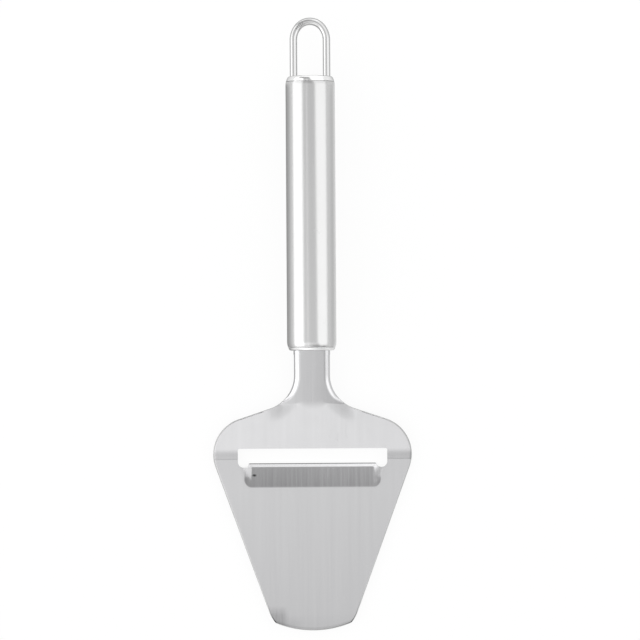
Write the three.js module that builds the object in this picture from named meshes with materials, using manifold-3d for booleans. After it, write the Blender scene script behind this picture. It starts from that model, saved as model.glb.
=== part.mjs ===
// Cheese slicer: a stamped steel plate with a slicing slot and a pressed-down cutting tongue, on a hollow steel
// handle with a wire hanging loop.
// Millimetres. +X runs across the plate, +Y from the plate's tip to the loop, +Z up. The slicer lies on a flat
// surface at z = 0, on its handle and its cutting edge, with the origin under the middle of its box.

import * as THREE from 'three';
import { mergeVertices } from 'three/addons/utils/BufferGeometryUtils.js';
import Module from 'manifold-3d';

const degree = Math.PI / 180;

// Handle
const handleDiameter = 19;
const handleLength = 105.3;
const tubeWall = 0.8;
const endRounding = 6.5; // radius of the rounding at both ends
const endRoundingRun = 3.5; // how far that rounding reaches along the handle
const neckCapRim = 1.2; // what shows of each cap, along the handle
const endCapRim = 2;
const spigotLength = 3.5; // the part of each cap that sits inside the tube
const plugTail = 3; // what the plug has beyond the end of the tang
const plugChamfer = 0.6;

// Hanging loop
const wireDiameter = 2.8;
const loopHeight = 22.6; // from the end cap to the outside of the arch
const loopInset = 3.15; // from the handle's outside to the middle of each leg
const archStretch = 0.75; // how much taller the arch is than half a circle
const archTurn = 40 * degree; // how far each side of the arch turns before its tighter top
const legStub = 1.5; // what each leg has beyond the cap, inside the handle

// Head, in plan: lengths run from the handle's lower end towards the tip
const sheetThickness = 1;
const neckInset = 2.45; // from the handle's outside to the edge of the neck
const neckLength = 21.4; // handle to the bend where the plate starts
const toeLength = 16.5; // that bend to the slot's upper edge
const slotOpening = 5.75; // the slot's upper edge to the cutting edge
const tongueLength = 9.55; // cutting edge to the tongue's root
const soleLength = 55.05; // the tongue's root to the tip
const plateWidth = 76.7;
const widestReach = 18.8; // the plate's bend to its widest place
const flareRadius = 13.5; // hollow rounding from the neck to the shoulder
const shoulderRadius = 14.5;
const shoulderAngle = 18.5 * degree; // the shoulder's rise between the two roundings
const taperAngle = 20 * degree; // each side against the middle line
const tipRadius = 38.5;
const tipCorner = 5;
const tipFlat = 2.4;

// Head, in its bends
const neckBendInset = 1.75; // from the handle's lower end to the middle of the neck's bend, inside
const neckBendRun = 2.5;
const plateBendRun = 4;
const toeAngle = 6 * degree;
const stepAngle = 17 * degree; // the step down from the toe to the sole, beside the slot
const stepInset = 0.4; // the slot's upper edge to the step
const stepRun = 3.9;
const stepBendRun = 0.8;
const channelAngle = 62 * degree; // how far the neck's edges turn down
const channelRadius = 3;
const channelRunout = 0.6; // how far past the plate's bend the turned edges fade

// Slot and cutting tongue
const sideWeb = 9.45; // metal left between the slot's end and the plate's widest place
const slotCorner = 0.7;
const notchRadius = 1.95;
const tongueAngle = 9.7 * degree;
const tongueRootRun = 0.7;
const tongueWall = 3; // drawn wall at each end of the tongue
const bevelWidth = 1;
const edgeThickness = 0.25;

// Tang
const tangLength = 38;
const tangShoulder = 1.9; // how much narrower the tang is than the neck, at each side
const neckSeat = 0.8; // how deep the neck's full width goes into its cap
const shoulderRun = 0.4;

// Clearances
const seamGap = 0.1; // between the tube and each cap
const fit = 0.2; // around pieces that go into one another

// Facets
const roundSides = 48;
const arcSteps = 4;
const wireSides = 16;
const wireSteps = 44;
const bendSteps = 4;
const channelSteps = 4;
const wallSteps = 3;
const rootSteps = 2;
const slopeStep = 0.01; // half the distance over which the sheet's slope is taken
const rowMerge = 0.02; // rows of the sheet closer than this become one

// Sizes that follow from these
const handleRadius = handleDiameter / 2;
const boreRadius = handleRadius - tubeWall;
const neckHalf = handleRadius - neckInset;
const tangHalf = neckHalf - tangShoulder;
const plateHalf = plateWidth / 2;
const slotHalf = plateHalf - sideWeb;
const bladeHalf = slotHalf - 2 * notchRadius;
const slotTop = neckLength + toeLength;
const edgeAt = slotTop + slotOpening;
const rootAt = edgeAt + tongueLength;
const tipAt = rootAt + soleLength;
const widestAt = neckLength + widestReach;
const legOffset = handleRadius - loopInset;
const legEnd = handleLength - endCapRim - spigotLength - legStub;

const wasm = await Module();
wasm.setup();

const clamp = THREE.MathUtils.clamp;
const lerp = THREE.MathUtils.lerp;

// Even shares from 0 to 1.
function shares(count) {
  return Array.from({ length: count + 1 }, (_, i) => i / count);
}

function solidOf(geometry) {
  const bare = geometry.clone();
  bare.deleteAttribute('normal');
  bare.deleteAttribute('uv');
  const merged = mergeVertices(bare);
  return new wasm.Manifold(new wasm.Mesh({
    numProp: 3,
    vertProperties: new Float32Array(merged.attributes.position.array),
    triVerts: new Uint32Array(merged.index.array),
  }));
}

function geometryOf(solid) {
  const mesh = solid.getMesh();
  const geometry = new THREE.BufferGeometry();
  geometry.setAttribute('position', new THREE.BufferAttribute(mesh.vertProperties, 3));
  geometry.setIndex(new THREE.BufferAttribute(mesh.triVerts, 1));
  geometry.computeVertexNormals();
  return geometry;
}

// Half the head's outline, as (distance from the handle, half width): tang, neck, flare, shoulder, taper and tip.
function headOutline() {
  const shoulderMiddle = new THREE.Vector2(widestAt, plateHalf - shoulderRadius);
  const riseTop = new THREE.Vector2(-Math.cos(shoulderAngle), Math.sin(shoulderAngle))
    .multiplyScalar(shoulderRadius).add(shoulderMiddle);
  const riseFootHalf = neckHalf + flareRadius * (1 - Math.sin(shoulderAngle));
  const riseFootAt = riseTop.x - (riseTop.y - riseFootHalf) * Math.tan(shoulderAngle);
  const flareStart = riseFootAt - flareRadius * Math.cos(shoulderAngle);

  const outward = Math.PI / 2 - taperAngle;
  const along = new THREE.Vector2(Math.cos(taperAngle), -Math.sin(taperAngle));
  const inward = new THREE.Vector2(-Math.sin(taperAngle), -Math.cos(taperAngle));
  const tipMiddle = new THREE.Vector2(tipAt - tipRadius, 0);
  const cornerLine = shoulderMiddle.clone().addScaledVector(inward, tipCorner - shoulderRadius).sub(tipMiddle);
  const forward = cornerLine.dot(along);
  const reach = Math.sqrt(forward ** 2 - cornerLine.lengthSq() + (tipRadius - tipCorner) ** 2) - forward;
  const corner = cornerLine.addScaledVector(along, reach);
  const cornerAngle = corner.angle();
  corner.add(tipMiddle);

  const outline = new THREE.Path();
  outline.moveTo(-tangLength, tangHalf);
  outline.lineTo(-neckSeat - shoulderRun, tangHalf);
  outline.lineTo(-neckSeat, neckHalf);
  outline.lineTo(flareStart, neckHalf);
  outline.absarc(flareStart, neckHalf + flareRadius, flareRadius, -Math.PI / 2, -shoulderAngle, false);
  outline.absarc(shoulderMiddle.x, shoulderMiddle.y, shoulderRadius, Math.PI - shoulderAngle, outward, true);
  outline.absarc(corner.x, corner.y, tipCorner, outward, cornerAngle, true);
  outline.absarc(tipMiddle.x, 0, tipRadius, cornerAngle, Math.asin(tipFlat / 2 / tipRadius), true);
  return { points: outline.getPoints(arcSteps), flareStart };
}

const { points: edgePoints, flareStart } = headOutline();

function halfWidth(at) {
  const next = edgePoints.findIndex((point) => point.x > at);
  if (next === 0) return edgePoints[0].y;
  if (next < 0) return edgePoints[edgePoints.length - 1].y;
  const before = edgePoints[next - 1];
  const after = edgePoints[next];
  return lerp(before.y, after.y, (at - before.x) / (after.x - before.x));
}

// Heights of the sheet's middle. The neck falls by as much as brings the cutting edge to the surface.
const stepFrom = slotTop + stepInset;
const stepTo = stepFrom + stepRun;
const neckBendAt = -neckBendInset;
const tongueSlope = Math.tan(tongueAngle);
const tongueBackFrom = slotTop + slotOpening / 3;
const tongueBackTo = slotTop + 2 * slotOpening / 3;
const tongueFall = tongueSlope * (tongueLength - tongueRootRun / 2);
const channelFall = channelRadius * (1 - Math.cos(channelAngle));
const crownHeight = handleRadius + channelFall / 2;
const soleHeight = tongueFall + sheetThickness / 2 / Math.cos(tongueAngle);
const toeFall = Math.tan(toeAngle) * (stepFrom - neckLength);
const stepFall = Math.tan(stepAngle) * stepRun;
const neckSlope = (crownHeight - soleHeight - toeFall - stepFall) / (neckLength - neckBendAt);

const bends = [
  { at: neckBendAt, run: neckBendRun, turn: -neckSlope },
  { at: neckLength, run: plateBendRun, turn: neckSlope - Math.tan(toeAngle) },
  { at: stepFrom, run: stepBendRun, turn: Math.tan(toeAngle) - Math.tan(stepAngle) },
  { at: stepTo, run: stepBendRun, turn: Math.tan(stepAngle) },
];

// A slope that sets in over a short run: the height it gives at a distance past the start of that run.
function easedRise(past, run) {
  if (past <= 0) return 0;
  return past < run ? past ** 2 / (2 * run) : past - run / 2;
}

function centreHeight(at) {
  return bends.reduce((height, bend) => {
    return height + bend.turn * easedRise(at - bend.at + bend.run / 2, bend.run);
  }, crownHeight);
}

// The neck's edges turn down, and the turn fades out where the plate begins.
function edgeTurn(at) {
  const faded = clamp((at - flareStart) / (neckLength + channelRunout - flareStart), 0, 1);
  return channelAngle * (1 - faded ** 2);
}

function middleHalf(at) {
  return halfWidth(at) - sheetThickness / 2 * Math.sin(edgeTurn(at));
}

function crownHalf(at) {
  return middleHalf(Math.max(at, 0)) - channelRadius * Math.sin(edgeTurn(at));
}

function edgeFall(x, at) {
  const turn = edgeTurn(at);
  const past = Math.abs(x) - crownHalf(at);
  if (turn === 0 || past <= 0) return 0;
  const arcEnd = channelRadius * Math.sin(turn);
  const onArc = Math.min(past, arcEnd);
  const beyond = past - onArc;
  return channelRadius - Math.sqrt(channelRadius ** 2 - onArc ** 2) + beyond * Math.tan(turn);
}

// The tongue falls from its root to the cutting edge, and runs back up inside the slot, where it is cut away.
function tongueFallAt(x, at) {
  const across = clamp((bladeHalf + tongueWall - Math.abs(x)) / tongueWall, 0, 1);
  const back = clamp((at - tongueBackFrom) / (tongueBackTo - tongueBackFrom), 0, 1);
  return across * back * tongueSlope * easedRise(rootAt - at, tongueRootRun);
}

function sheetHeight(x, at) {
  return centreHeight(at) - edgeFall(x, at) - tongueFallAt(x, at);
}

function sheetPoint(x, at, lift) {
  const acrossSlope = (sheetHeight(x + slopeStep, at) - sheetHeight(x - slopeStep, at)) / (2 * slopeStep);
  const alongSlope = (sheetHeight(x, at + slopeStep) - sheetHeight(x, at - slopeStep)) / (2 * slopeStep);
  const normal = new THREE.Vector3(-acrossSlope, alongSlope, 1).normalize();
  return new THREE.Vector3(x, -at, sheetHeight(x, at)).addScaledVector(normal, lift);
}

// Places across half a row of the sheet: on the neck they follow the turned edge, on the plate the tongue's walls.
function rowPlaces(at, edge) {
  const turn = edgeTurn(at);
  const neckShare = edge / middleHalf(Math.max(at, 0));
  const neck = shares(channelSteps).slice(0, -1).map((share) => {
    return neckShare * (crownHalf(at) + channelRadius * Math.sin(share * turn));
  });
  const plateShare = halfWidth(at) / halfWidth(clamp(at, slotTop, rootAt));
  const plate = shares(wallSteps).map((share) => plateShare * (bladeHalf + share * tongueWall));
  const blend = clamp((at - flareStart) / (neckLength + channelRunout - flareStart), 0, 1);
  const half = neck.map((place, i) => lerp(place, plate[i], blend));
  const right = [...half, edge];
  return [...right.map((place) => -place).reverse(), 0, ...right];
}

// The sheet between two distances, as one closed body. A grown copy cuts the room that the sheet goes into.
function sheetGeometry(from, to, grow) {
  const stations = [
    from,
    to,
    ...edgePoints.map((point) => point.x - (point.x < 0 ? grow : 0)),
    ...bends.flatMap((bend) => shares(bendSteps).map((share) => bend.at + (share - 0.5) * bend.run)),
    tongueBackFrom,
    tongueBackTo,
    edgeAt,
    ...shares(rootSteps).map((share) => rootAt - share * tongueRootRun),
  ].filter((at) => at >= from && at <= to).sort((a, b) => a - b);
  const rows = stations.filter((at, i) => i === 0 || at - stations[i - 1] > rowMerge);
  const lift = sheetThickness / 2 + grow;
  const positions = [];
  for (const at of rows) {
    const inner = at < 0 ? at + grow : at;
    const edge = middleHalf(inner) + grow * Math.cos(edgeTurn(inner));
    for (const x of rowPlaces(at, edge)) {
      positions.push(...sheetPoint(x, at, lift).toArray(), ...sheetPoint(x, at, -lift).toArray());
    }
  }
  const columns = rowPlaces(from, 1).length;
  const top = (row, column) => 2 * (row * columns + column);
  const under = (row, column) => top(row, column) + 1;
  const index = [];
  const quad = (a, b, c, d) => index.push(a, b, c, a, c, d);
  const lastRow = rows.length - 1;
  const lastColumn = columns - 1;
  for (let row = 0; row < lastRow; row += 1) {
    for (let column = 0; column < lastColumn; column += 1) {
      quad(top(row, column), top(row + 1, column), top(row + 1, column + 1), top(row, column + 1));
      quad(under(row, column), under(row, column + 1), under(row + 1, column + 1), under(row + 1, column));
    }
    quad(top(row, 0), under(row, 0), under(row + 1, 0), top(row + 1, 0));
    quad(top(row + 1, lastColumn), under(row + 1, lastColumn), under(row, lastColumn), top(row, lastColumn));
  }
  for (let column = 0; column < lastColumn; column += 1) {
    quad(top(0, column), top(0, column + 1), under(0, column + 1), under(0, column));
    quad(under(lastRow, column), under(lastRow, column + 1), top(lastRow, column + 1), top(lastRow, column));
  }
  const geometry = new THREE.BufferGeometry();
  geometry.setAttribute('position', new THREE.Float32BufferAttribute(positions, 3));
  geometry.setIndex(index);
  return geometry;
}

// Straight up through the sheet: the slot, with a round notch at each end of the cutting edge.
function slotCutter() {
  const shape = new THREE.Shape();
  shape.absarc(-slotHalf + slotCorner, -slotTop - slotCorner, slotCorner, Math.PI, Math.PI / 2, true);
  shape.absarc(slotHalf - slotCorner, -slotTop - slotCorner, slotCorner, Math.PI / 2, 0, true);
  shape.absarc(slotHalf - notchRadius, -edgeAt, notchRadius, 0, -Math.PI, true);
  shape.absarc(notchRadius - slotHalf, -edgeAt, notchRadius, 0, -Math.PI, true);
  const depth = 2 * crownHeight;
  return new THREE.ExtrudeGeometry(shape, { depth, bevelEnabled: false, curveSegments: arcSteps })
    .translate(0, 0, -depth / 2);
}

// The wedge that is ground off the top of the tongue to make the cutting edge.
function bevelCutter() {
  const topAt = (past) => sheetThickness / Math.cos(tongueAngle) + tongueSlope * past;
  const grindSlope = (topAt(bevelWidth) - edgeThickness) / bevelWidth;
  const shape = new THREE.Shape();
  shape.moveTo(-edgeAt - bevelWidth, topAt(bevelWidth));
  shape.lineTo(-edgeAt + bevelWidth, edgeThickness - grindSlope * bevelWidth);
  shape.lineTo(-edgeAt + bevelWidth, topAt(bevelWidth) + bevelWidth);
  const length = 2 * (bladeHalf + notchRadius);
  const sideways = new THREE.Matrix4().makeBasis(
    new THREE.Vector3(0, 1, 0),
    new THREE.Vector3(0, 0, 1),
    new THREE.Vector3(1, 0, 0),
  );
  return new THREE.ExtrudeGeometry(shape, { depth: length, bevelEnabled: false })
    .translate(0, 0, -length / 2)
    .applyMatrix4(sideways);
}

function slicerHead() {
  const sheet = solidOf(sheetGeometry(-tangLength, edgePoints[edgePoints.length - 1].x, 0));
  return geometryOf(sheet.subtract(solidOf(slotCutter())).subtract(solidOf(bevelCutter())));
}

// The room for tang and neck, in the handle's own frame, whose axis is at the handle's middle.
function tangRoom() {
  return solidOf(sheetGeometry(-tangLength - fit, neckLength / 2, fit).translate(0, 0, -handleRadius));
}

// The handle's outside, at a distance from either end.
function roundedRadius(fromEnd) {
  const left = Math.max(endRoundingRun - fromEnd, 0);
  return handleRadius - endRounding + Math.sqrt(endRounding ** 2 - left ** 2);
}

function roundedPoints(from, to) {
  return shares(arcSteps).map((share) => {
    const fromEnd = lerp(from, to, share);
    return new THREE.Vector2(roundedRadius(fromEnd), fromEnd);
  });
}

function handleTube() {
  const lower = roundedPoints(neckCapRim + seamGap, endRoundingRun);
  const upper = roundedPoints(endCapRim + seamGap, endRoundingRun).reverse();
  const outside = [...lower, ...upper.map((point) => new THREE.Vector2(point.x, handleLength - point.y))];
  const inside = outside.map((point) => new THREE.Vector2(point.x - tubeWall, point.y)).reverse();
  return new THREE.LatheGeometry([...outside, ...inside, outside[0]], roundSides);
}

// Half section of a cap, from the middle of its outer face to the middle of its inner face.
function capSection(rim) {
  const spigot = roundedRadius(rim + seamGap) - tubeWall - fit;
  return [
    new THREE.Vector2(0, 0),
    ...roundedPoints(0, rim),
    new THREE.Vector2(spigot, rim),
    new THREE.Vector2(spigot, rim + spigotLength),
    new THREE.Vector2(0, rim + spigotLength),
  ];
}

function neckCap() {
  const cap = new THREE.LatheGeometry(capSection(neckCapRim), roundSides);
  return geometryOf(solidOf(cap).subtract(tangRoom()));
}

// A wire bent in one plane.
class BentWire extends THREE.Curve {
  constructor(path) {
    super();
    this.path = path;
  }

  getPoint(t) {
    const point = this.path.getPoint(t);
    return new THREE.Vector3(point.x, point.y, 0);
  }
}

function loopWire(radius, lowEnd) {
  const path = new THREE.Path();
  const archFoot = handleLength + loopHeight - wireDiameter / 2 - legOffset - archStretch;
  const tighter = archStretch / (Math.sin(archTurn) + Math.cos(archTurn) - 1);
  const sideRadius = legOffset + tighter * Math.cos(archTurn);
  const sideOffset = sideRadius - legOffset;
  const topFoot = archFoot + tighter * Math.sin(archTurn);
  path.moveTo(-legOffset, lowEnd);
  path.lineTo(-legOffset, archFoot);
  path.absarc(sideOffset, archFoot, sideRadius, Math.PI, Math.PI - archTurn, true);
  path.absarc(0, topFoot, sideRadius - tighter, Math.PI - archTurn, archTurn, true);
  path.absarc(-sideOffset, archFoot, sideRadius, archTurn, 0, true);
  path.lineTo(legOffset, lowEnd);
  const section = new THREE.Shape().absarc(0, 0, radius, 0, 2 * Math.PI);
  return new THREE.ExtrudeGeometry(section, {
    steps: wireSteps,
    curveSegments: wireSides / 2,
    extrudePath: new BentWire(path),
  });
}

function endCap() {
  const section = capSection(endCapRim).map((point) => new THREE.Vector2(point.x, handleLength - point.y));
  const cap = new THREE.LatheGeometry(section.reverse(), roundSides);
  const bores = loopWire(wireDiameter / 2 + fit, legEnd - legStub);
  return geometryOf(solidOf(cap).subtract(solidOf(bores)));
}

function hangingLoop() {
  return loopWire(wireDiameter / 2, legEnd);
}

function tangPlug() {
  const radius = boreRadius - fit;
  const lower = neckCapRim + spigotLength + fit;
  const upper = tangLength + plugTail;
  const plug = new THREE.LatheGeometry([
    new THREE.Vector2(0, lower),
    new THREE.Vector2(radius - plugChamfer, lower),
    new THREE.Vector2(radius, lower + plugChamfer),
    new THREE.Vector2(radius, upper - plugChamfer),
    new THREE.Vector2(radius - plugChamfer, upper),
    new THREE.Vector2(0, upper),
  ], roundSides);
  return geometryOf(solidOf(plug).subtract(tangRoom()));
}

const satinSteel = { color: 0xc6c6c4, roughness: 0.36, metalness: 1 };
const polishedSteel = { color: 0xd2d2d0, roughness: 0.16, metalness: 1 };
const darkNylon = { color: 0x2c2d2f, roughness: 0.6, metalness: 0 };

function piece(name, geometry, finish) {
  const mesh = new THREE.Mesh(geometry, new THREE.MeshStandardMaterial(finish));
  mesh.name = name;
  return mesh;
}

const handle = new THREE.Group();
handle.position.z = handleRadius;
handle.add(
  piece('handle_tube', handleTube(), satinSteel),
  piece('neck_cap', neckCap(), polishedSteel),
  piece('end_cap', endCap(), polishedSteel),
  piece('hanging_loop', hangingLoop(), polishedSteel),
  piece('tang_plug', tangPlug(), darkNylon),
);

const slicer = new THREE.Group();
slicer.position.y = (tipAt - handleLength - loopHeight) / 2;
slicer.add(piece('slicer_head', slicerHead(), satinSteel), handle);

export default slicer;
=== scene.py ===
# Cheese slicer, seen from above: a satin steel plate with a slicing slot and a pressed-down cutting
# tongue, on a hollow steel handle with a wire hanging loop.
# Metres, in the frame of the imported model: +X across the plate, +Y from the tip to the loop, +Z up.

import math

import bpy
from mathutils import Matrix, Vector


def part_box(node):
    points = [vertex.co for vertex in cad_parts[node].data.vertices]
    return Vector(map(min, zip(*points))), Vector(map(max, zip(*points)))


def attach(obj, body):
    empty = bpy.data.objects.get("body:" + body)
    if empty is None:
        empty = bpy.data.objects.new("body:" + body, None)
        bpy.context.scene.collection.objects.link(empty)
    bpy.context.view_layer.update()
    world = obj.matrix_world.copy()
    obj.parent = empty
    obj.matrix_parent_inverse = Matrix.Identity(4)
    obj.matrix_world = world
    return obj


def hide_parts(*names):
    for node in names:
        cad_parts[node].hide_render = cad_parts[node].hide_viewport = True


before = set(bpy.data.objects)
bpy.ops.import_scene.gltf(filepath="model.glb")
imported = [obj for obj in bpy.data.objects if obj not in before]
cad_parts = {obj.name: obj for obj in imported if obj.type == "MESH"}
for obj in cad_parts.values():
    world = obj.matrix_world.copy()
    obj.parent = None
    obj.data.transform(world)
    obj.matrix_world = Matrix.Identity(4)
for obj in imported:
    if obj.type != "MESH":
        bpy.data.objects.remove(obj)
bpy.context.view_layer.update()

MM = 0.001

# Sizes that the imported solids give
tube_low, tube_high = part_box("handle_tube")
wire_low, wire_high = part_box("hanging_loop")
head_low, head_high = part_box("slicer_head")
handle_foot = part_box("neck_cap")[0].y
handle_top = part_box("end_cap")[1].y
handle_radius = (tube_high.x - tube_low.x) / 2
axis_height = (tube_high.z + tube_low.z) / 2
wire_radius = (wire_high.z - wire_low.z) / 2
leg_offset = (wire_high.x - wire_low.x) / 2 - wire_radius
tip_at = handle_foot - head_low.y
tang_length = head_high.y - handle_foot
plate_half = head_high.x

# Handle
tube_wall = 0.8 * MM
end_rounding = 6.5 * MM
end_rounding_run = 3.5 * MM
cap_corner = 0.9 * MM
neck_cap_rim = tube_low.y - handle_foot - 0.1 * MM
end_cap_rim = handle_top - tube_high.y - 0.1 * MM
spigot_length = 3.5 * MM
lip = 0.08 * MM

# Hanging loop: an arch of three radii, tighter at its top
arch_stretch = 0.75 * MM
arch_turn = math.radians(40)
arch_foot = wire_high.y - wire_radius - leg_offset - arch_stretch
arch_tighter = arch_stretch / (math.sin(arch_turn) + math.cos(arch_turn) - 1)
arch_side_radius = leg_offset + arch_tighter * math.cos(arch_turn)

# Head, in plan: lengths run from the handle's lower end towards the tip
sheet_thickness = 1 * MM
neck_half = handle_radius - 2.45 * MM
neck_length = 21.4 * MM
slot_top = neck_length + 16.5 * MM
edge_at = slot_top + 5.75 * MM
root_at = edge_at + 9.55 * MM
widest_at = neck_length + 18.8 * MM
flare_radius = 13.5 * MM
shoulder_radius = 14.5 * MM
shoulder_angle = math.radians(18.5)
taper_angle = math.radians(20)
tip_radius = 38.5 * MM
tip_side_radius = 13 * MM
tip_side_turn = math.radians(18)
tip_side_steps = 6
tip_corner = 2.4 * MM

# Head, in its bends
neck_bend_from = -3 * MM
neck_bend_run = 2.5 * MM
plate_bend_run = 4.5 * MM
plate_bend_side_run = 0.15 * MM
neck_crown_radius = 115 * MM
toe_angle = math.radians(6)
step_angle = math.radians(15.5)
step_from = slot_top - 0.5 * MM
step_to = slot_top + 4.3 * MM
step_bend_run = 3.4 * MM
crease_run = 0.3 * MM
channel_angle = math.radians(70)
channel_radius = 2.3 * MM
channel_runout = -1.2 * MM
dip_slope = math.tan(math.radians(9.2))
dip_width = 6 * MM
dip_end = 18.5 * MM
dip_fade = 7 * MM

# Slot and tongue
slot_half = plate_half - 9.45 * MM
slot_corner = 0.7 * MM
notch_radius = 2.2 * MM
notch_rise = 0.6 * MM
blade_half = slot_half - notch_radius - math.sqrt(notch_radius**2 - notch_rise**2)
tongue_angle = math.radians(9.7)
tongue_root_run = 0.7 * MM
tongue_half = blade_half - 0.95 * MM
tongue_corner = 3 * MM
wall_top_half = slot_half - 0.7 * MM
wall_taper = 0.27
wall_hollow = 1.3
edge_thickness = 0.25 * MM
front_grind_angle = math.radians(52)
front_grind_run = 0.27 * MM
top_grind_angle = math.radians(31)

# Tang
tang_half = neck_half - 1.9 * MM
neck_seat = 0.8 * MM
shoulder_run = 0.4 * MM

round_sides = 128
rim_rounding = 0.42 * MM


def clamp(value, low=0.0, high=1.0):
    return max(low, min(high, value))


def lerp(a, b, share):
    return a + (b - a) * share


def smooth(share):
    share = clamp(share)
    return share * share * (3 - 2 * share)


def even_steps(start, end, steps):
    return [lerp(start, end, i / steps) for i in range(steps + 1)]


# Modelling helpers


def leave_edit_mode():
    if bpy.context.object and bpy.context.object.mode != "OBJECT":
        bpy.ops.object.mode_set(mode="OBJECT")
    bpy.ops.object.select_all(action="DESELECT")


def take(piece):
    leave_edit_mode()
    piece.select_set(True)
    bpy.context.view_layer.objects.active = piece


def open_edges(piece):
    """Readies a piece for edges to be picked by their place, with none picked yet."""
    take(piece)
    bpy.ops.object.mode_set(mode="EDIT")
    bpy.ops.mesh.select_mode(type="EDGE")
    bpy.ops.mesh.select_all(action="DESELECT")
    bpy.ops.object.mode_set(mode="OBJECT")


def settle(name):
    """Names the piece in hand and puts its place into its mesh."""
    piece = bpy.context.object
    piece.name = name
    piece.data.name = name
    bpy.ops.object.transform_apply(location=True, rotation=True, scale=True)
    return piece


def apply_modifier(piece, kind, **settings):
    take(piece)
    modifier = piece.modifiers.new(kind.lower(), kind)
    for key, value in settings.items():
        setattr(modifier, key, value)
    bpy.ops.object.modifier_apply(modifier=modifier.name)


def carve(piece, *cutters):
    for cutter in cutters:
        apply_modifier(piece, "BOOLEAN", operation="DIFFERENCE", solver="EXACT", object=cutter)
        bpy.data.objects.remove(cutter)


def finish_faces(piece, angle=32):
    take(piece)
    bpy.ops.object.mode_set(mode="EDIT")
    bpy.ops.mesh.select_all(action="SELECT")
    bpy.ops.mesh.remove_doubles(threshold=0.002 * MM)
    bpy.ops.mesh.normals_make_consistent(inside=False)
    bpy.ops.object.mode_set(mode="OBJECT")
    bpy.ops.object.shade_smooth_by_angle(angle=math.radians(angle))


def draw_out(sections):
    """Extrudes the selected ring along the handle, through (place, radius) sections."""
    place, radius = sections[0]
    for next_place, next_radius in sections[1:]:
        bpy.ops.mesh.extrude_region_move(TRANSFORM_OT_translate={"value": (0, next_place - place, 0)})
        share = next_radius / radius
        bpy.ops.transform.resize(value=(share, 1, share), center_override=(0, next_place, axis_height))
        place, radius = next_place, next_radius


def turned_piece(name, sections, closed_ring):
    """A piece turned round the handle's axis. It is a closed ring, or it has a flat face at both ends."""
    leave_edit_mode()
    bpy.ops.mesh.primitive_circle_add(
        vertices=round_sides,
        radius=sections[0][1],
        location=(0, sections[0][0], axis_height),
        rotation=(math.pi / 2, 0, 0),
        fill_type="NOTHING",
    )
    piece = settle(name)
    bpy.ops.object.mode_set(mode="EDIT")
    bpy.ops.mesh.select_all(action="SELECT")
    if not closed_ring:
        bpy.ops.mesh.edge_face_add()
        bpy.ops.mesh.select_all(action="SELECT")
        bpy.ops.mesh.duplicate()
        bpy.ops.mesh.delete(type="ONLY_FACE")
        bpy.ops.mesh.select_all(action="DESELECT")
        bpy.ops.mesh.select_non_manifold(extend=False, use_boundary=False, use_multi_face=False)
    draw_out(sections)
    if not closed_ring:
        bpy.ops.mesh.edge_face_add()
    finish_faces(piece)
    return piece


# Handle


def rounded_radius(from_end):
    left = max(end_rounding_run - from_end, 0)
    return handle_radius - end_rounding + math.sqrt(end_rounding**2 - left**2)


def tube_end_sections(from_end):
    """A rounded end of the tube, from the lip at the seam: (distance from the handle's end, radius)."""
    outer = rounded_radius(from_end + lip)
    curve = even_steps(from_end + lip, end_rounding_run, 8)[1:]
    return [
        (from_end, outer - lip),
        (from_end + 0.3 * lip, outer - 0.3 * lip),
        (from_end + lip, outer),
        *((d, rounded_radius(d)) for d in curve),
    ]


def handle_tube():
    lower = tube_end_sections(tube_low.y - handle_foot)
    upper = tube_end_sections(handle_top - tube_high.y)
    outside = [(handle_foot + d, r) for d, r in lower] + [(handle_top - d, r) for d, r in reversed(upper)]
    inside = [
        (tube_high.y, upper[0][1] + lip - tube_wall),
        (handle_top - end_rounding_run, handle_radius - tube_wall),
        (handle_foot + end_rounding_run, handle_radius - tube_wall),
        (tube_low.y, lower[0][1] + lip - tube_wall),
    ]
    return turned_piece("handle_tube_satin", outside + inside + outside[:1], True)


def cap_sections(rim, wall_radius):
    """Half section of a cap: outer face, rounded rim, the lip at the seam and the spigot inside the tube."""
    corner_turn = math.acos(end_rounding_run / end_rounding)
    corner_end = cap_corner * (1 - math.cos(corner_turn))
    face = rounded_radius(corner_end) - cap_corner * math.sin(corner_turn)
    turns = [corner_turn * i / 6 for i in range(6)]
    corner = [(cap_corner * (1 - math.cos(t)), face + cap_corner * math.sin(t)) for t in turns]
    rim_points = [(d, rounded_radius(d)) for d in even_steps(corner_end, rim - lip, 8)]
    spigot = wall_radius - 0.2 * MM
    return [
        *corner,
        *rim_points,
        (rim - 0.3 * lip, rounded_radius(rim - lip) - 0.3 * lip),
        (rim, rounded_radius(rim - lip) - lip),
        (rim, spigot),
        (rim + spigot_length, spigot),
    ]


def neck_cap():
    wall_radius = rounded_radius(neck_cap_rim) - tube_wall
    sections = [(handle_foot + d, r) for d, r in cap_sections(neck_cap_rim, wall_radius)]
    return turned_piece("neck_cap_polished", sections, False)


def end_cap():
    wall_radius = rounded_radius(end_cap_rim) - tube_wall
    sections = [(handle_top - d, r) for d, r in cap_sections(end_cap_rim, wall_radius)]
    cap = turned_piece("end_cap_polished", sections, False)
    for side in (-1, 1):
        leave_edit_mode()
        bpy.ops.mesh.primitive_cylinder_add(
            vertices=48,
            radius=wire_radius + 0.12 * MM,
            depth=4 * spigot_length,
            location=(side * leg_offset, handle_top - spigot_length, axis_height),
            rotation=(math.pi / 2, 0, 0),
        )
        carve(cap, settle("leg_bore"))
    finish_faces(cap)
    return cap


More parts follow.
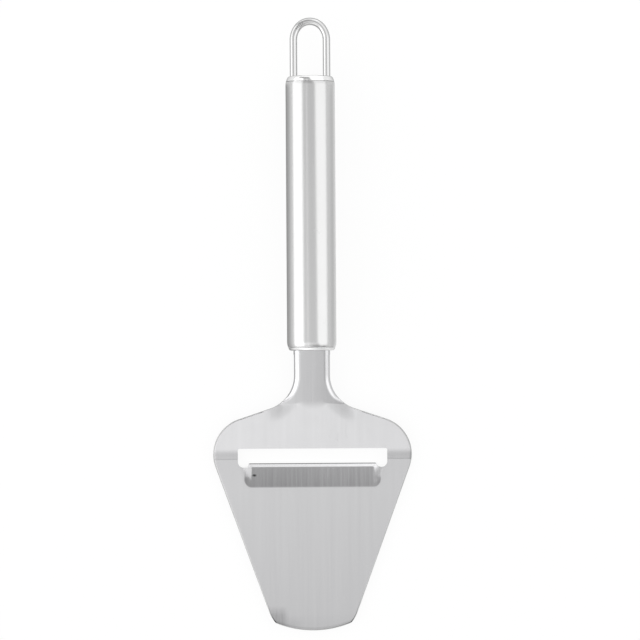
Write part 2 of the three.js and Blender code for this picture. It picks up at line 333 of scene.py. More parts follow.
def hanging_loop():
    leave_edit_mode()
    bpy.ops.mesh.primitive_circle_add(
        vertices=40,
        radius=wire_radius,
        location=(-leg_offset, wire_low.y, axis_height),
        rotation=(math.pi / 2, 0, 0),
        fill_type="NGON",
    )
    loop = settle("hanging_loop_wire")
    bpy.ops.object.mode_set(mode="EDIT")
    bpy.ops.mesh.select_all(action="SELECT")
    leg = arch_foot - wire_low.y
    side = arch_side_radius - leg_offset
    bpy.ops.mesh.extrude_region_move(TRANSFORM_OT_translate={"value": (0, leg, 0)})
    for steps, angle, middle, rise in (
        (12, arch_turn, side, 0),
        (26, math.pi - 2 * arch_turn, 0, arch_tighter * math.sin(arch_turn)),
        (12, arch_turn, -side, 0),
    ):
        centre = (middle, arch_foot + rise, axis_height)
        bpy.ops.mesh.spin(steps=steps, angle=angle, center=centre, axis=(0, 0, 1))
    bpy.ops.mesh.extrude_region_move(TRANSFORM_OT_translate={"value": (0, -leg, 0)})
    finish_faces(loop)
    return loop


# Slicer head


def arc_points(middle, radius, start, end, steps):
    turns = even_steps(start, end, steps)
    return [(middle[0] + radius * math.cos(t), middle[1] + radius * math.sin(t)) for t in turns]


def head_outline():
    """Half the outline as (distance, half width): the side to the tip's corner, and the tip from there."""
    shoulder = (widest_at, plate_half - shoulder_radius)
    rise_top_at = shoulder[0] - shoulder_radius * math.cos(shoulder_angle)
    rise_top_half = shoulder[1] + shoulder_radius * math.sin(shoulder_angle)
    rise_foot_half = neck_half + flare_radius * (1 - math.sin(shoulder_angle))
    rise_foot_at = rise_top_at - (rise_top_half - rise_foot_half) * math.tan(shoulder_angle)
    flare = rise_foot_at - flare_radius * math.cos(shoulder_angle)

    outward = math.pi / 2 - taper_angle
    turned_in = outward - tip_side_turn
    along = Vector((math.cos(taper_angle), -math.sin(taper_angle)))
    tip_middle = tip_at - tip_radius
    to_corner = (tip_side_radius - tip_corner) * Vector((math.cos(turned_in), math.sin(turned_in)))
    offset = shoulder_radius - tip_side_radius
    corner = Vector(shoulder) + offset * Vector((math.cos(outward), math.sin(outward))) + to_corner
    corner.x -= tip_middle
    forward = corner.dot(along)
    spare = forward**2 - corner.length_squared + (tip_radius - tip_corner) ** 2
    corner += along * (math.sqrt(spare) - forward)
    corner_angle = math.atan2(corner.y, corner.x)
    corner.x += tip_middle
    half_way = (turned_in + corner_angle) / 2

    side = [(-tang_length, tang_half), (-neck_seat - shoulder_run, tang_half), (-neck_seat, neck_half)]
    side += arc_points((flare, neck_half + flare_radius), flare_radius, -math.pi / 2, -shoulder_angle, 28)
    side += arc_points(shoulder, shoulder_radius, math.pi - shoulder_angle, outward, 36)
    side += arc_points(corner - to_corner, tip_side_radius, outward, turned_in, tip_side_steps)
    side += arc_points(corner, tip_corner, turned_in, half_way, 1)[1:]
    tip = arc_points(corner, tip_corner, half_way, corner_angle, 6)
    tip += arc_points((tip_middle, 0), tip_radius, corner_angle, 0, 40)[1:]
    return side, tip, flare


side_points, tip_points, flare_start = head_outline()
corner_place, corner_width = side_points[-1]


def half_width(s):
    for (s0, w0), (s1, w1) in zip(side_points, side_points[1:]):
        if s0 <= s <= s1 and s1 > s0:
            return lerp(w0, w1, (s - s0) / (s1 - s0))
    return side_points[0][1] if s < side_points[0][0] else side_points[-1][1]


def tip_place(share):
    """A point on the tip's outline, by its share of the way from the middle to the corner."""
    lengths = [math.dist(a, b) for a, b in zip(tip_points, tip_points[1:])]
    left = (1 - share) * sum(lengths)
    for start, end, length in zip(tip_points, tip_points[1:], lengths):
        if left <= length:
            return [lerp(a, b, left / length) for a, b in zip(start, end)]
        left -= length
    return tip_points[-1]


# Heights of the sheet's middle
tongue_slope = math.tan(tongue_angle)
tongue_fall = tongue_slope * (root_at - edge_at - tongue_root_run / 2)
channel_fall = channel_radius * (1 - math.cos(channel_angle))
crown_height = axis_height + channel_fall / 2
sole_height = tongue_fall + sheet_thickness / 2 / math.cos(tongue_angle) + 0.005 * MM
toe_slope = math.tan(toe_angle)
step_slope = math.tan(step_angle)
step_bends = [
    (step_from + step_bend_run / 2, step_bend_run, toe_slope - step_slope),
    (step_to, crease_run, step_slope),
]


def eased_rise(past, run):
    if past <= 0:
        return 0
    return past**2 / (2 * run) if past < run else past - run / 2


def toe_rise(s):
    """Height of the toe and step above the sole."""
    end = step_to + crease_run / 2
    fall = toe_slope * (end - s)
    full = sum(turn * eased_rise(end - at + run / 2, run) for at, run, turn in step_bends)
    part = sum(turn * eased_rise(s - at + run / 2, run) for at, run, turn in step_bends)
    return fall - full + part


toe_start = sole_height + toe_rise(neck_length)
neck_slope = (crown_height - toe_start) / (neck_length - neck_bend_from - neck_bend_run / 2)


def rim_dip(x, s):
    """How far the plate dips towards its flared rim, where the neck's turned edges run out."""
    out, down = neck_half + flare_radius - abs(x), s - flare_start
    turned = clamp(math.atan2(down, out), 0, math.pi / 2 - shoulder_angle)
    inside = out * math.cos(turned) + down * math.sin(turned) - flare_radius
    drop = dip_slope * eased_rise(dip_width - inside, 0.6 * dip_width)
    return drop * smooth((dip_end - abs(x)) / dip_fade)


def centre_height(x, s):
    """The crowned neck runs down into the toe, which goes on over the step into the sole."""
    fall = neck_slope * eased_rise(s - neck_bend_from, neck_bend_run)
    neck = crown_height - fall - x**2 / (2 * neck_crown_radius)
    plate = sole_height + toe_rise(max(s, 0)) - rim_dip(x, s)
    run = lerp(plate_bend_run, plate_bend_side_run, smooth((abs(x) - 3 * MM) / (4 * MM)))
    blend = (neck_slope - toe_slope) * run / 2
    return neck + eased_rise(plate - neck + blend, 2 * blend)


def edge_turn(s):
    faded = clamp((s - flare_start) / (neck_length + channel_runout - flare_start))
    return channel_angle * (1 - faded**8)


def middle_half(s):
    """Half width of the sheet's middle: less than the outline where the edge turns down."""
    return half_width(s) - sheet_thickness / 2 * math.sin(edge_turn(s))


def edge_fall(x, s):
    turn = edge_turn(s)
    past = abs(x) - (middle_half(max(s, 0)) - channel_radius * math.sin(turn))
    if turn == 0 or past <= 0:
        return 0
    on_arc = min(past, channel_radius * math.sin(turn))
    beyond = past - on_arc
    return channel_radius - math.sqrt(channel_radius**2 - on_arc**2) + beyond * math.tan(turn)


def tongue_drop(x, s):
    left = root_at - s
    if left <= 0:
        return 0
    wall_half = wall_top_half - wall_taper * max(s - edge_at, 0)
    across = clamp((wall_half - abs(x)) / (wall_half - tongue_half))
    back = clamp(1.5 * (s - slot_top) / (edge_at - slot_top))
    return across**wall_hollow * back * tongue_slope * eased_rise(left, tongue_root_run)


def sheet_height(x, s):
    return centre_height(x, s) - edge_fall(x, s) - tongue_drop(x, s)


def spread(*stretches):
    """Places along a line: each stretch is (end, count of even steps)."""
    places = [0.0]
    for end, count in stretches:
        start = places[-1]
        places += [lerp(start, end, i / count) for i in range(1, count + 1)]
    return places


def column_shares(s):
    plate = spread(
        (tongue_half - 0.3 * MM, 20),
        (tongue_half + 0.3 * MM, 3),
        (wall_top_half, 14),
        (plate_half, 10),
    )
    count = len(plate) - 1
    blend = smooth((s - flare_start) / (neck_length + 6 * MM - flare_start))
    half = [lerp(i / count, x / plate_half, blend) for i, x in enumerate(plate)]
    return [-share for share in reversed(half[1:])] + half


def row_stations():
    """Rows of the sheet as (distance, half width, share of the tip's curve), from the tang to the tip."""
    swept_from = root_at + 4 * MM
    straight = [s for s, _ in side_points if s < swept_from]
    for at, run, _ in step_bends:
        straight += [at + run * (i / 8 - 0.5) for i in range(9)]
    straight += [neck_bend_from + neck_bend_run * i / 8 for i in range(9)]
    straight += even_steps(neck_length - 4 * MM, neck_length + 4 * MM, 80)
    straight += even_steps(neck_length + 4 * MM, neck_length + 8 * MM, 14)
    straight += even_steps(slot_top, edge_at, 9)
    straight += even_steps(edge_at, root_at - tongue_root_run, 10)
    straight += [root_at - tongue_root_run * i / 8 for i in range(9)]
    straight += even_steps(0, neck_length, 24)
    straight.sort()
    rows = []
    for s in straight:
        if not rows or s - rows[-1][0] > 0.06 * MM:
            rows.append((s, middle_half(s), 0.0))
    taper = [swept_from + i * 3 * MM for i in range(40)]
    turned = [s for s, _ in side_points[-2 - tip_side_steps :]]
    side = [s for s in taper if s < turned[0] - 1 * MM] + turned
    for s in side:
        rows.append((s, half_width(s), (s - swept_from) / (corner_place - swept_from)))
    return rows


def pressed_sheet(name, last_row=None):
    """A flat grid pressed to the head's shape, as a sheet without thickness."""
    rows = [row for row in row_stations() if last_row is None or row[0] <= last_row]
    tip_share = {share: tip_place(abs(share)) for share in column_shares(tip_at)}
    lines = []
    for s, half, sweep in reversed(rows):
        line = []
        for share in column_shares(s):
            x, place = half * share, s
            if sweep > 0:
                tip_s, tip_x = tip_share[share]
                x = half * lerp(share, math.copysign(tip_x / corner_width, share), sweep)
                place = s + sweep * (tip_s - corner_place)
            line.append((x, handle_foot - place, sheet_height(x, place)))
        lines.append(line)
    leave_edit_mode()
    columns = len(lines[0])
    bpy.ops.mesh.primitive_grid_add(x_subdivisions=columns - 1, y_subdivisions=len(lines) - 1, size=2)
    sheet = settle(name)
    for point in sheet.data.vertices:
        column = round((point.co.x + 1) / 2 * (columns - 1))
        line = round((point.co.y + 1) / 2 * (len(lines) - 1))
        point.co = lines[line][column]
    return sheet


def slot_cutters():
    leave_edit_mode()
    bpy.ops.mesh.primitive_cube_add(size=1, location=(0, handle_foot - (slot_top + edge_at) / 2, sole_height))
    bpy.context.object.scale = (2 * slot_half, edge_at - slot_top, 20 * MM)
    window = settle("slot_window")
    for upper, corner in ((True, slot_corner), (False, notch_rise)):
        open_edges(window)
        for edge in window.data.edges:
            a, b = (window.data.vertices[i].co for i in edge.vertices)
            at_top = a.y > handle_foot - (slot_top + edge_at) / 2
            edge.select = abs(a.z - b.z) > 10 * MM and at_top == upper
        bpy.ops.object.mode_set(mode="EDIT")
        bpy.ops.mesh.bevel(offset=corner, segments=8, affect="EDGES")
    cutters = [window]
    for side in (-1, 1):
        leave_edit_mode()
        bpy.ops.mesh.primitive_cylinder_add(
            vertices=64,
            radius=notch_radius,
            depth=20 * MM,
            location=(side * (slot_half - notch_radius), handle_foot - edge_at + notch_rise, sole_height),
        )
        cutters.append(settle("slot_notch"))
    return cutters


def grind_cutters():
    """Blocks whose lower faces lie in the planes that the cutting edge is ground to."""
    depth = 2 * MM
    front_top = edge_thickness + front_grind_run * math.tan(front_grind_angle)
    cutters = []
    for angle, place, height in (
        (front_grind_angle, 0.0, edge_thickness),
        (top_grind_angle, front_grind_run, front_top),
    ):
        leave_edit_mode()
        bpy.ops.mesh.primitive_cube_add(size=1)
        block = bpy.context.object
        block.scale = (2 * blade_half + 0.6 * MM, 4 * MM, depth)
        block.rotation_euler = (-angle, 0, 0)
        block.location = (
            0,
            handle_foot - edge_at - place + math.sin(angle) * depth / 2,
            height + math.cos(angle) * depth / 2,
        )
        cutters.append(settle("edge_grind"))
    return cutters


def round_rim(head):
    """Rounds the outer edges of the plate and neck, outside the handle."""
    open_edges(head)
    rims = {}
    for face in head.data.polygons:
        for key in face.edge_keys:
            rims.setdefault(key, []).append(face.material_index)
    points = head.data.vertices
    for edge in head.data.edges:
        middle = (points[edge.vertices[0]].co + points[edge.vertices[1]].co) / 2
        outside = handle_foot - middle.y > 1.5 * MM
        edge.select = outside and sorted(rims[edge.key]) == [0, 1]
    bpy.ops.object.mode_set(mode="EDIT")
    bpy.ops.mesh.bevel(
        offset=rim_rounding,
        segments=3,
        affect="EDGES",
        loop_slide=False,
        clamp_overlap=False,
        material=1,
    )
    bpy.ops.object.mode_set(mode="OBJECT")


def keep_grind_crisp(head):
    """Keeps the line sharp where the top grind of the cutting edge meets the tongue."""
    points = head.data.vertices
    for edge in head.data.edges:
        start, end = (points[i].co for i in edge.vertices)
        along = handle_foot - (start.y + end.y) / 2
        crosswise = abs(start.x - end.x) > 4 * abs(start.y - end.y)
        on_blade = abs(start.x + end.x) / 2 < blade_half
        if crosswise and on_blade and edge_at < along < edge_at + 2 * MM:
            edge.use_edge_sharp = True


def slicer_head():
    head = pressed_sheet("slicer_head_satin")
    for name in ("faces", "rim"):
        head.data.materials.append(bpy.data.materials.new(name))
    apply_modifier(
        head,
        "SOLIDIFY",
        thickness=sheet_thickness,
        offset=0,
        use_even_offset=True,
        material_offset_rim=1,
    )
    round_rim(head)
    carve(head, *slot_cutters(), *grind_cutters())
    finish_faces(head, 28)
    keep_grind_crisp(head)
    return head


def neck_opening():
    """The room that the neck takes in its cap."""
    room = pressed_sheet("neck_room", 5 * MM)
    apply_modifier(room, "SOLIDIFY", thickness=sheet_thickness + 0.24 * MM, offset=0, use_even_offset=True)
    take(room)
    bpy.ops.object.mode_set(mode="EDIT")
    bpy.ops.mesh.select_all(action="SELECT")
    bpy.ops.transform.resize(value=(1.02, 1, 1), center_override=(0, 0, 0))
    bpy.ops.object.mode_set(mode="OBJECT")
    return room


tube = handle_tube()
foot_cap = neck_cap()
carve(foot_cap, neck_opening())
finish_faces(foot_cap)
top_cap = end_cap()
loop = hanging_loop()
head = slicer_head()

for piece, node, finish in (
    (tube, "handle_tube", "satin_steel_tube"),
    (foot_cap, "neck_cap", "polished_steel"),
    (top_cap, "end_cap", "polished_steel"),
    (loop, "hanging_loop", "polished_steel"),
    (head, "slicer_head", "satin_steel_plate"),
):
    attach(piece, "root")
    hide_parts(node)


# Materials


def node(tree, kind, inputs=None, **settings):
    made = tree.nodes.new("ShaderNode" + kind)
    for key, value in settings.items():
        setattr(made, key, value)
    for key, value in (inputs or {}).items():
        socket = made.inputs[key]
        if isinstance(value, bpy.types.NodeSocket):
            tree.links.new(value, socket)
        else:
            socket.default_value = value
    return made


def maths(tree, operation, a, b=0.0):
    return node(tree, "Math", {0: a, 1: b}, operation=operation).outputs[0]


def ranged(tree, value, low, high, to_low=0.0, to_high=1.0, kind="LINEAR"):
    made = node(tree, "MapRange", {0: value, 1: low, 2: high, 3: to_low, 4: to_high}, interpolation_type=kind)
    return made.outputs[0]


def product(tree, first, *others):
    for other in others:
        first = maths(tree, "MULTIPLY", first, other)
    return first


def past(tree, value, limit):
    """How far a value is past a limit, or 0."""
    return maths(tree, "MAXIMUM", maths(tree, "SUBTRACT", value, limit), 0.0)


def reach(tree, across, along):
    """Length of the way that goes so far across and so far along."""
    both = node(tree, "CombineXYZ", {0: across, 1: along}).outputs[0]
    return node(tree, "VectorMath", {0: both}, operation="LENGTH").outputs["Value"]


def noise(tree, vector, scale, detail, roughness=0.5, distortion=0.0):
    inputs = {"Vector": vector, "Scale": scale, "Detail": detail}
    inputs.update({"Roughness": roughness, "Distortion": distortion})
    return node(tree, "TexNoise", inputs).outputs[0]


def between(tree, value, low, high, soft):
    """Mask that is 1 from one place to another and fades over a soft edge at both."""
    rise = ranged(tree, value, low - soft, low + soft)
    fall = ranged(tree, value, high - soft, high + soft, 1.0, 0.0)
    return product(tree, rise, fall)


def dimmed(tree, shade, mask, amount):
    """Takes a share of the shade away where the mask is."""
    return product(tree, shade, ranged(tree, mask, 0.0, 1.0, 1.0, 1.0 - amount))


def new_group(name, *outputs):
    """A node group that takes coordinates and puts out values; returns it, its coordinates and its end."""
    tree = bpy.data.node_groups.new(name, "ShaderNodeTree")
    tree.interface.new_socket("Vector", in_out="INPUT", socket_type="NodeSocketVector")
    for label in outputs:
        tree.interface.new_socket(label, in_out="OUTPUT", socket_type="NodeSocketFloat")
    return tree, tree.nodes.new("NodeGroupInput").outputs[0], tree.nodes.new("NodeGroupOutput")


def ground_lines_group():
    """Fine ground lines and the broader streaks among them, in coordinates stretched along the lines."""
    tree, vector, end = new_group("ground_lines", "Lines", "Streaks")
    fine = noise(tree, vector, 1.0, 3.0, 0.65)
    tree.links.new(ranged(tree, fine, 0.3, 0.7), end.inputs["Lines"])
    broad = noise(tree, vector, 0.13, 2.0)
    tree.links.new(ranged(tree, broad, 0.32, 0.68), end.inputs["Streaks"])
    return tree


def handling_group():
    """Marks of use: soft smudges, and thin broken scratches."""
    tree, vector, end = new_group("handling_marks", "Smudge", "Scratch")
    cloud = noise(tree, vector, 70.0, 4.0, 0.6, 0.5)
    tree.links.new(ranged(tree, cloud, 0.45, 0.7), end.inputs["Smudge"])
    slant = {"Vector": vector, "Rotation": (0, 0, 0.35), "Scale": (420, 60, 60)}
    field = noise(tree, node(tree, "Mapping", slant).outputs[0], 1.0, 1.0)
    ridge = maths(tree, "ABSOLUTE", maths(tree, "SUBTRACT", field, 0.5))
    thin = ranged(tree, ridge, 0.0, 0.012, 1.0, 0.0)
    kept = ranged(tree, noise(tree, vector, 130.0, 1.0), 0.56, 0.64)
    tree.links.new(product(tree, thin, kept), end.inputs["Scratch"])
    return tree


ground_lines = ground_lines_group()
handling_marks = handling_group()


def new_material(name):
    material = bpy.data.materials.new(name)
    material.use_nodes = True
    tree = material.node_tree
    tree.nodes.clear()
    output = tree.nodes.new("ShaderNodeOutputMaterial")
    shader = tree.nodes.new("ShaderNodeBsdfPrincipled")
    tree.links.new(shader.outputs[0], output.inputs["Surface"])
    place = tree.nodes.new("ShaderNodeTexCoord").outputs["Object"]
    return material, tree, shader, place


def shared(tree, group, vector):
    made = tree.nodes.new("ShaderNodeGroup")
    made.node_tree = group
    tree.links.new(vector, made.inputs["Vector"])
    return made


def stretched(tree, place, scale):
    return node(tree, "Mapping", {"Vector": place, "Scale": scale}).outputs[0]


def grey(tree, value, tint=(1.0, 1.0, 1.0)):
    parts = [value if share == 1.0 else product(tree, value, share) for share in tint]
    return node(tree, "CombineColor", {0: parts[0], 1: parts[1], 2: parts[2]}).outputs[0]


def steel(name, tone, rim_tone, roughness, line_scale, contrast, bump):
    """Stainless steel with ground lines; returns the material with its shade still open."""
    material, tree, shader, place = new_material(name)
    lines = shared(tree, ground_lines, stretched(tree, place, line_scale))
    marks = shared(tree, handling_marks, place)
    shader.inputs["Metallic"].default_value = 1.0
    shader.inputs["Specular Tint"].default_value = (rim_tone, rim_tone, rim_tone, 1.0)
    mixed = maths(
        tree,
        "ADD",
        product(tree, lines.outputs["Lines"], 0.5),
        product(tree, lines.outputs["Streaks"], 0.5),
    )
    shade = ranged(tree, mixed, 0.0, 1.0, tone * (1 - contrast), tone * (1 + contrast))
    rough = ranged(tree, lines.outputs["Lines"], 0.0, 1.0, roughness * 0.92, roughness * 1.08)
    rough = maths(tree, "ADD", rough, product(tree, marks.outputs["Smudge"], 0.03))
    rough = maths(tree, "ADD", rough, product(tree, marks.outputs["Scratch"], 0.06))
    tree.links.new(rough, shader.inputs["Roughness"])
    height = maths(tree, "SUBTRACT", lines.outputs["Lines"], marks.outputs["Scratch"])
    relief = node(tree, "Bump", {"Strength": bump, "Distance": 0.02 * MM, "Height": height})
    tree.links.new(relief.outputs[0], shader.inputs["Normal"])
    return material, tree, shader, place, shade


def tube_finish():
    material, tree, shader, _, shade = steel(
        "satin_steel_tube", 0.55, 0.9, 0.22, (1500, 10, 1500), 0.015, 0.012
    )
    tree.links.new(grey(tree, shade), shader.inputs["Base Color"])
    return material


def cap_finish(name, roughness):
    material, tree, shader, _, shade = steel(name, 0.8, 0.6, roughness, (900, 300, 900), 0.02, 0.01)
    tree.links.new(grey(tree, shade), shader.inputs["Base Color"])
    return material


def wire_finish():
    """Drawn wire, with the marks that the bending tool left across the arch."""
    material, tree, shader, place, shade = steel(
        "polished_steel_wire", 0.56, 0.15, 0.11, (900, 300, 900), 0.02, 0.01
    )
    axes = node(tree, "SeparateXYZ", {0: place})
    rise = maths(tree, "SUBTRACT", axes.outputs[1], arch_foot + arch_stretch)
    turn = maths(tree, "ARCTAN2", rise, axes.outputs[0])
    teeth = ranged(tree, maths(tree, "SINE", product(tree, turn, 50.0)), 0.1, 0.7)
    bitten = product(
        tree,
        between(tree, turn, math.radians(114), math.radians(150), math.radians(3)),
        ranged(tree, axes.outputs[2], axis_height + 0.92 * wire_radius, axis_height + 0.97 * wire_radius),
    )
    shade = dimmed(tree, shade, product(tree, teeth, bitten), 0.5)
    tree.links.new(grey(tree, shade), shader.inputs["Base Color"])
    return material


def plate_finish():
    material, tree, shader, place, shade = steel(
        "satin_steel_plate", 0.55, 0.3, 0.2, (2600, 24, 24), 0.02, 0.02
    )
    axes = node(tree, "SeparateXYZ", {0: place})
    across = axes.outputs[0]
    off_middle = maths(tree, "ABSOLUTE", across)
    along = maths(tree, "SUBTRACT", handle_foot, axes.outputs[1])
    wide = shared(tree, ground_lines, stretched(tree, place, (1100, 40, 40)))
    broad = shared(tree, ground_lines, stretched(tree, place, (420, 16, 16)))

    # The sole: painted shade, paler at the top and on the left and darker towards the tip
    shade = product(tree, shade, ranged(tree, along, root_at, tip_at, 1.075, 0.94))
    shade = product(tree, shade, ranged(tree, across, -plate_half, plate_half, 1.02, 0.98))
    shade = product(tree, shade, ranged(tree, broad.outputs["Lines"], 0.0, 1.0, 0.986, 1.014))

    # The tongue: coarse ground streaks, with painted shade on its lower walls, towards its root and on its
    # left side
    corner_out = reach(
        tree,
        past(tree, off_middle, tongue_half + 2.7 * MM - tongue_corner),
        past(tree, along, root_at - 0.35 * MM - tongue_corner),
    )
    tongue = product(
        tree,
        ranged(tree, along, edge_at + 1.4 * MM, edge_at + 1.7 * MM),
        ranged(tree, corner_out, tongue_corner - 0.25 * MM, tongue_corner + 0.25 * MM, 1.0, 0.0),
    )
    # Painted shade: the tongue's lower side walls are darkened, holding down the highlight they catch
    wall = product(
        tree,
        tongue,
        ranged(tree, off_middle, tongue_half, tongue_half + 2 * MM),
        ranged(tree, along, edge_at + 4.6 * MM, edge_at + 5.8 * MM),
    )
    shade = dimmed(tree, shade, wall, 0.36)
    to_root = ranged(tree, along, edge_at, root_at, 0.0, 1.0)
    coarse = product(
        tree,
        ranged(tree, wide.outputs["Lines"], 0.1, 0.9),
        ranged(tree, to_root, 0.0, 1.0, 0.6, 1.0),
    )
    shade = dimmed(tree, shade, product(tree, tongue, coarse), 0.14)
    # Painted shade: the tongue darker towards its root and on its left side
    shade = dimmed(tree, shade, product(tree, tongue, to_root), 0.13)
    painted_shade_to_left = ranged(tree, across, -tongue_half, tongue_half, 1.0, 0.0)
    shade = dimmed(tree, shade, product(tree, tongue, painted_shade_to_left), 0.125)

    # Painted shade: a dark line along the cutting edge, and along the crease of the step
    on_blade = ranged(tree, off_middle, blade_half + 0.2 * MM, blade_half + 0.4 * MM, 1.0, 0.0)
    painted_edge_shade = between(tree, along, edge_at - 0.1 * MM, edge_at + 0.3 * MM, 0.04 * MM)
    shade = dimmed(tree, shade, product(tree, painted_edge_shade, on_blade), 0.6)
    # Painted shade in the crease of the step
    crease = product(
        tree,
        between(tree, along, step_to - 0.45 * MM, step_to + 0.12 * MM, 0.2 * MM),
        ranged(tree, off_middle, slot_half - 0.2 * MM, slot_half),
    )
    shade = dimmed(tree, shade, crease, 0.1)

    # A small dark spot beside the tongue's left wall, a scuff at the tip's left corner, painted shade over
    # the sole's last few millimetres and painted shade along the rim of the tip
    # A small dark spot beside the tongue's left wall
    spot_across = maths(tree, "ADD", across, tongue_half - 1.1 * MM)
    spot_along = maths(tree, "SUBTRACT", along, edge_at + 4.6 * MM)
    dark_spot = reach(tree, product(tree, spot_across, 0.62), spot_along)
    shade = dimmed(tree, shade, ranged(tree, dark_spot, 0.2 * MM, 0.62 * MM, 1.0, 0.0), 0.88)
    scuff = product(
        tree,
        between(tree, across, -20 * MM, -10.6 * MM, 1.4 * MM),
        between(tree, along, tip_at - 7.8 * MM, tip_at, 1.8 * MM),
        ranged(tree, wide.outputs["Lines"], 0.0, 0.8, 0.45, 1.0),
    )
    shade = dimmed(tree, shade, scuff, 0.3)
    faint = product(
        tree,
        between(tree, across, -20 * MM, -5.5 * MM, 2 * MM),
        ranged(tree, along, tip_at - 6 * MM, tip_at - 2.5 * MM),
    )
    shade = dimmed(tree, shade, faint, 0.08)
    # Painted shade: the sole darker over its last few millimetres before the tip
    shade = dimmed(tree, shade, ranged(tree, along, tip_at - 7 * MM, tip_at - 1 * MM), 0.06)
    # Painted shade: a dark band along the tip's rim
    from_tip = reach(tree, across, maths(tree, "SUBTRACT", along, tip_at - tip_radius))
    painted_rim_shade = product(
        tree,
        between(tree, from_tip, tip_radius - 1.1 * MM, tip_radius, 0.12 * MM),
        ranged(tree, along, corner_place - 2 * MM, corner_place),
    )
    shade = dimmed(tree, shade, painted_rim_shade, 0.12)
    tree.links.new(grey(tree, shade, (1.0, 0.998, 1.012)), shader.inputs["Base Color"])
    return material


def rim_finish():
    """The sheared and tumbled rim of the plate, painted darker than its faces: painted shade that is
    strongest along the shoulders and round the tip's corners.
    """
    material, tree, shader, place, shade = steel(
        "sheared_steel_rim", 0.7, 0.65, 0.26, (700, 700, 700), 0.08, 0.05
    )
    along = maths(tree, "SUBTRACT", handle_foot, node(tree, "SeparateXYZ", {0: place}).outputs[1])
    # Painted shade: the rim darker towards the shoulders, and darker still round the tip's corners
    shade = product(tree, shade, ranged(tree, along, widest_at, corner_place, 0.62, 0.84))
    shade = dimmed(tree, shade, ranged(tree, along, corner_place - 1 * MM, corner_place + 2 * MM), 0.32)
    tree.links.new(grey(tree, shade), shader.inputs["Base Color"])
    return material


def nylon_finish():
    material, tree, shader, place = new_material("dark_nylon")
    marks = shared(tree, handling_marks, place)
    speckle = noise(tree, place, 900.0, 3.0)
    shade = ranged(tree, speckle, 0.3, 0.7, 0.02, 0.034)
    tree.links.new(grey(tree, shade), shader.inputs["Base Color"])
    tree.links.new(ranged(tree, marks.outputs["Smudge"], 0.0, 1.0, 0.52, 0.64), shader.inputs["Roughness"])
    relief = node(tree, "Bump", {"Strength": 0.2, "Distance": 0.05 * MM, "Height": speckle})
    tree.links.new(relief.outputs[0], shader.inputs["Normal"])
    return material


def dress(piece, *materials):
    """Gives a piece its materials, slot by slot, so that its faces keep theirs."""
    slots = piece.data.materials
    while len(slots) < len(materials):
        slots.append(None)
    for place, material in enumerate(materials):
        slots[place] = material


dress(tube, tube_finish())
dress(foot_cap, cap_finish("polished_steel_neck_cap", 0.32))
dress(top_cap, cap_finish("polished_steel_end_cap", 0.13))
dress(loop, wire_finish())
dress(head, plate_finish(), rim_finish())
dress(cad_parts["tang_plug"], nylon_finish())


# Floor, light and camera


def stepped(tree, value, stops, blend):
    """A level that follows its stops, as (place, level)."""
    first, last = stops[0][0], stops[-1][0]
    made = tree.nodes.new("ShaderNodeValToRGB")
    ramp = made.color_ramp
    ramp.interpolation = blend
    while len(ramp.elements) < len(stops):
        ramp.elements.new(0.5)
    for stop, (place, level) in zip(ramp.elements, stops):
        stop.position = (place - first) / (last - first)
        stop.color = (level / 2, level / 2, level / 2, 1)
    tree.links.new(ranged(tree, value, first, last), made.inputs[0])
    return product(tree, made.outputs[0], 2.0)


def studio_floor():
    leave_edit_mode()
    bpy.ops.mesh.primitive_plane_add(size=8, location=(0, 0, -0.05 * MM))
    floor = settle("studio_floor")
    material = bpy.data.materials.new("white_floor")
    material.use_nodes = True
    tree = material.node_tree
    tree.nodes.clear()
    seen = node(tree, "LightPath")
    mirrored = maths(tree, "ADD", seen.outputs["Is Glossy Ray"], seen.outputs["Is Transmission Ray"])
    axes = node(tree, "SeparateXYZ", {0: node(tree, "TexCoord").outputs["Object"]})
    # Painted reflection: in reflections only, the floor beside the handle has a dark stripe to its left,
    # standing in for the handle's shadow, and a stripe brighter than white to its right
    beside = product(
        tree,
        mirrored,
        ranged(tree, axes.outputs[1], handle_foot - neck_length, handle_foot - 0.6 * neck_length),
        ranged(tree, axes.outputs[1], handle_top - 3 * MM, handle_top + 2 * MM, 1.0, 0.0),
    )
    in_radii = product(tree, axes.outputs[0], 1 / handle_radius)
    painted_reflection_stripe = stepped(
        tree,
        in_radii,
        [(-6, 1.0), (-1.5, 0.4), (-0.8, 0.4), (0.8, 1.2), (1.8, 1.2), (3, 0.82), (6, 0.86), (12, 1.0)],
        "LINEAR",
    )
    level = node(tree, "Mix", {0: beside, 2: 1.0, 3: painted_reflection_stripe}, data_type="FLOAT").outputs[0]
    share = maths(
        tree,
        "ADD",
        product(tree, seen.outputs["Is Camera Ray"], 0.92),
        maths(tree, "ADD", product(tree, mirrored, 0.4), product(tree, beside, 0.4)),
    )
    paper = node(tree, "BsdfDiffuse", {"Color": (0.84, 0.84, 0.84, 1)})
    glow = node(tree, "Emission", {"Color": grey(tree, level), "Strength": 1.0})
    mixed = node(tree, "MixShader", {0: share, 1: paper.outputs[0], 2: glow.outputs[0]})
    output = tree.nodes.new("ShaderNodeOutputMaterial")
    tree.links.new(mixed.outputs[0], output.inputs["Surface"])
    dress(floor, material)


def soft_box(name, low, high, length, brightness, turn=0, forward=0):
    """A long lamp beside the slicer, between edges given as (sideways, height), and turned in plan."""
    low, high = Vector((low[0], forward, low[1])), Vector((high[0], forward, high[1]))
    width = (high - low).length
    lamp = bpy.data.lights.new(name, "AREA")
    lamp.shape = "RECTANGLE"
    lamp.size = length
    lamp.size_y = width
    lamp.energy = brightness * math.pi * length * width
    box = bpy.data.objects.new(name, lamp)
    bpy.context.scene.collection.objects.link(box)
    across = (high - low).normalized()
    along = Vector((0, 1, 0))
    away = along.cross(across)
    if away.z < 0:
        along, away = -along, -away
    stand = Matrix((along, across, away)).transposed()
    swing = Matrix.Rotation(math.radians(turn), 3, "Z")
    box.location = swing @ ((low + high) / 2)
    box.rotation_euler = (swing @ stand).to_euler()
    box.visible_camera = False


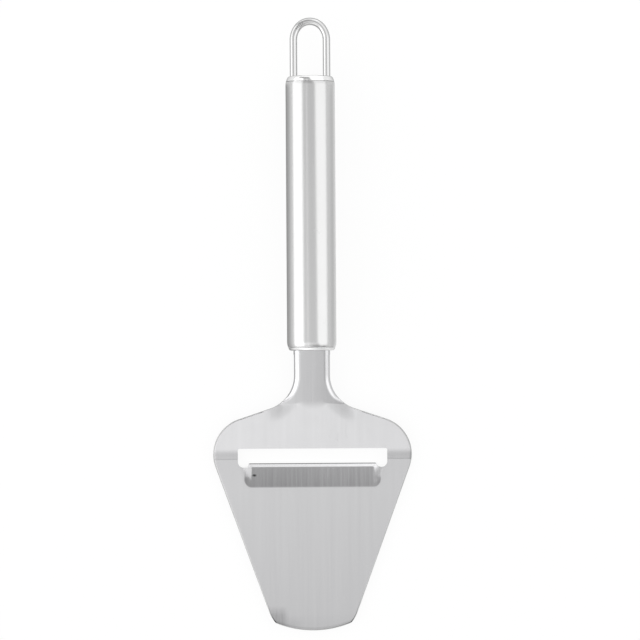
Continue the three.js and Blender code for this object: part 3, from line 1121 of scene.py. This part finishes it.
def studio_world():
    world = bpy.data.worlds.new("studio_surround")
    bpy.context.scene.world = world
    world.use_nodes = True
    tree = world.node_tree
    tree.nodes.clear()
    towards = node(tree, "TexCoord").outputs["Generated"]
    axes = node(tree, "SeparateXYZ", {0: towards})
    ceiling = [
        (-1.0, 1.2),
        (-0.82, 1.3),
        (-0.7, 1.16),
        (-0.5, 0.75),
        (-0.25, 1.34),
        (-0.1, 0.98),
        (-0.04, 1.03),
        (0.02, 0.92),
        (0.12, 0.84),
        (0.3, 0.6),
        (0.4, 0.57),
        (0.5, 0.78),
        (0.62, 0.6),
        (0.76, 0.45),
        (0.86, 1.4),
        (1.0, 1.1),
    ]
    overhead = stepped(tree, axes.outputs[1], ceiling, "EASE")
    lean = product(tree, axes.outputs[0], ranged(tree, axes.outputs[1], -0.02, -0.3, 0.0, 0.5))
    overhead = maths(tree, "SUBTRACT", overhead, lean)
    neck_lean = product(
        tree,
        ranged(tree, axes.outputs[0], -0.15, 0.15, -0.1, 0.1),
        ranged(tree, axes.outputs[1], -0.35, -0.5),
    )
    overhead = maths(tree, "SUBTRACT", overhead, neck_lean)
    wall = ranged(tree, axes.outputs[2], 0.1, 0.35, 1.0, 0.0, "SMOOTHSTEP")
    far_wall = ranged(tree, axes.outputs[1], 0.55, 0.9, 1.0, 1.7)
    level = node(tree, "Mix", {0: wall, 2: overhead, 3: far_wall}, data_type="FLOAT").outputs[0]
    light = node(tree, "Background", {"Color": grey(tree, level), "Strength": 1.0})
    output = tree.nodes.new("ShaderNodeOutputWorld")
    tree.links.new(light.outputs[0], output.inputs["Surface"])


def overhead_camera():
    lens_height = 1.4
    frame_width = 246.03 * MM
    aim_across, aim_along = 3.22 * MM, 1.85 * MM
    roll = math.radians(-0.36)
    data = bpy.data.cameras.new("overhead_camera")
    data.sensor_width = 36
    data.lens = data.sensor_width * (lens_height - axis_height) / frame_width
    data.clip_end = 20
    camera = bpy.data.objects.new("overhead_camera", data)
    bpy.context.scene.collection.objects.link(camera)
    camera.location = (aim_across, aim_along, lens_height)
    camera.rotation_euler = (0, 0, roll)
    bpy.context.scene.camera = camera


studio_floor()
soft_box("left_soft_box", (-0.75, 0.02), (-0.42, 0.57), 1.04, 1.0, forward=0.16)
soft_box("right_soft_box", (0.72, 0.18), (0.29, 0.64), 1.46, 0.77, 26)
soft_box("thin_strip", (-0.3, 0.88), (-0.235, 0.895), 1.6, 0.48)
studio_world()
overhead_camera()
bpy.context.scene.view_settings.view_transform = "Standard"
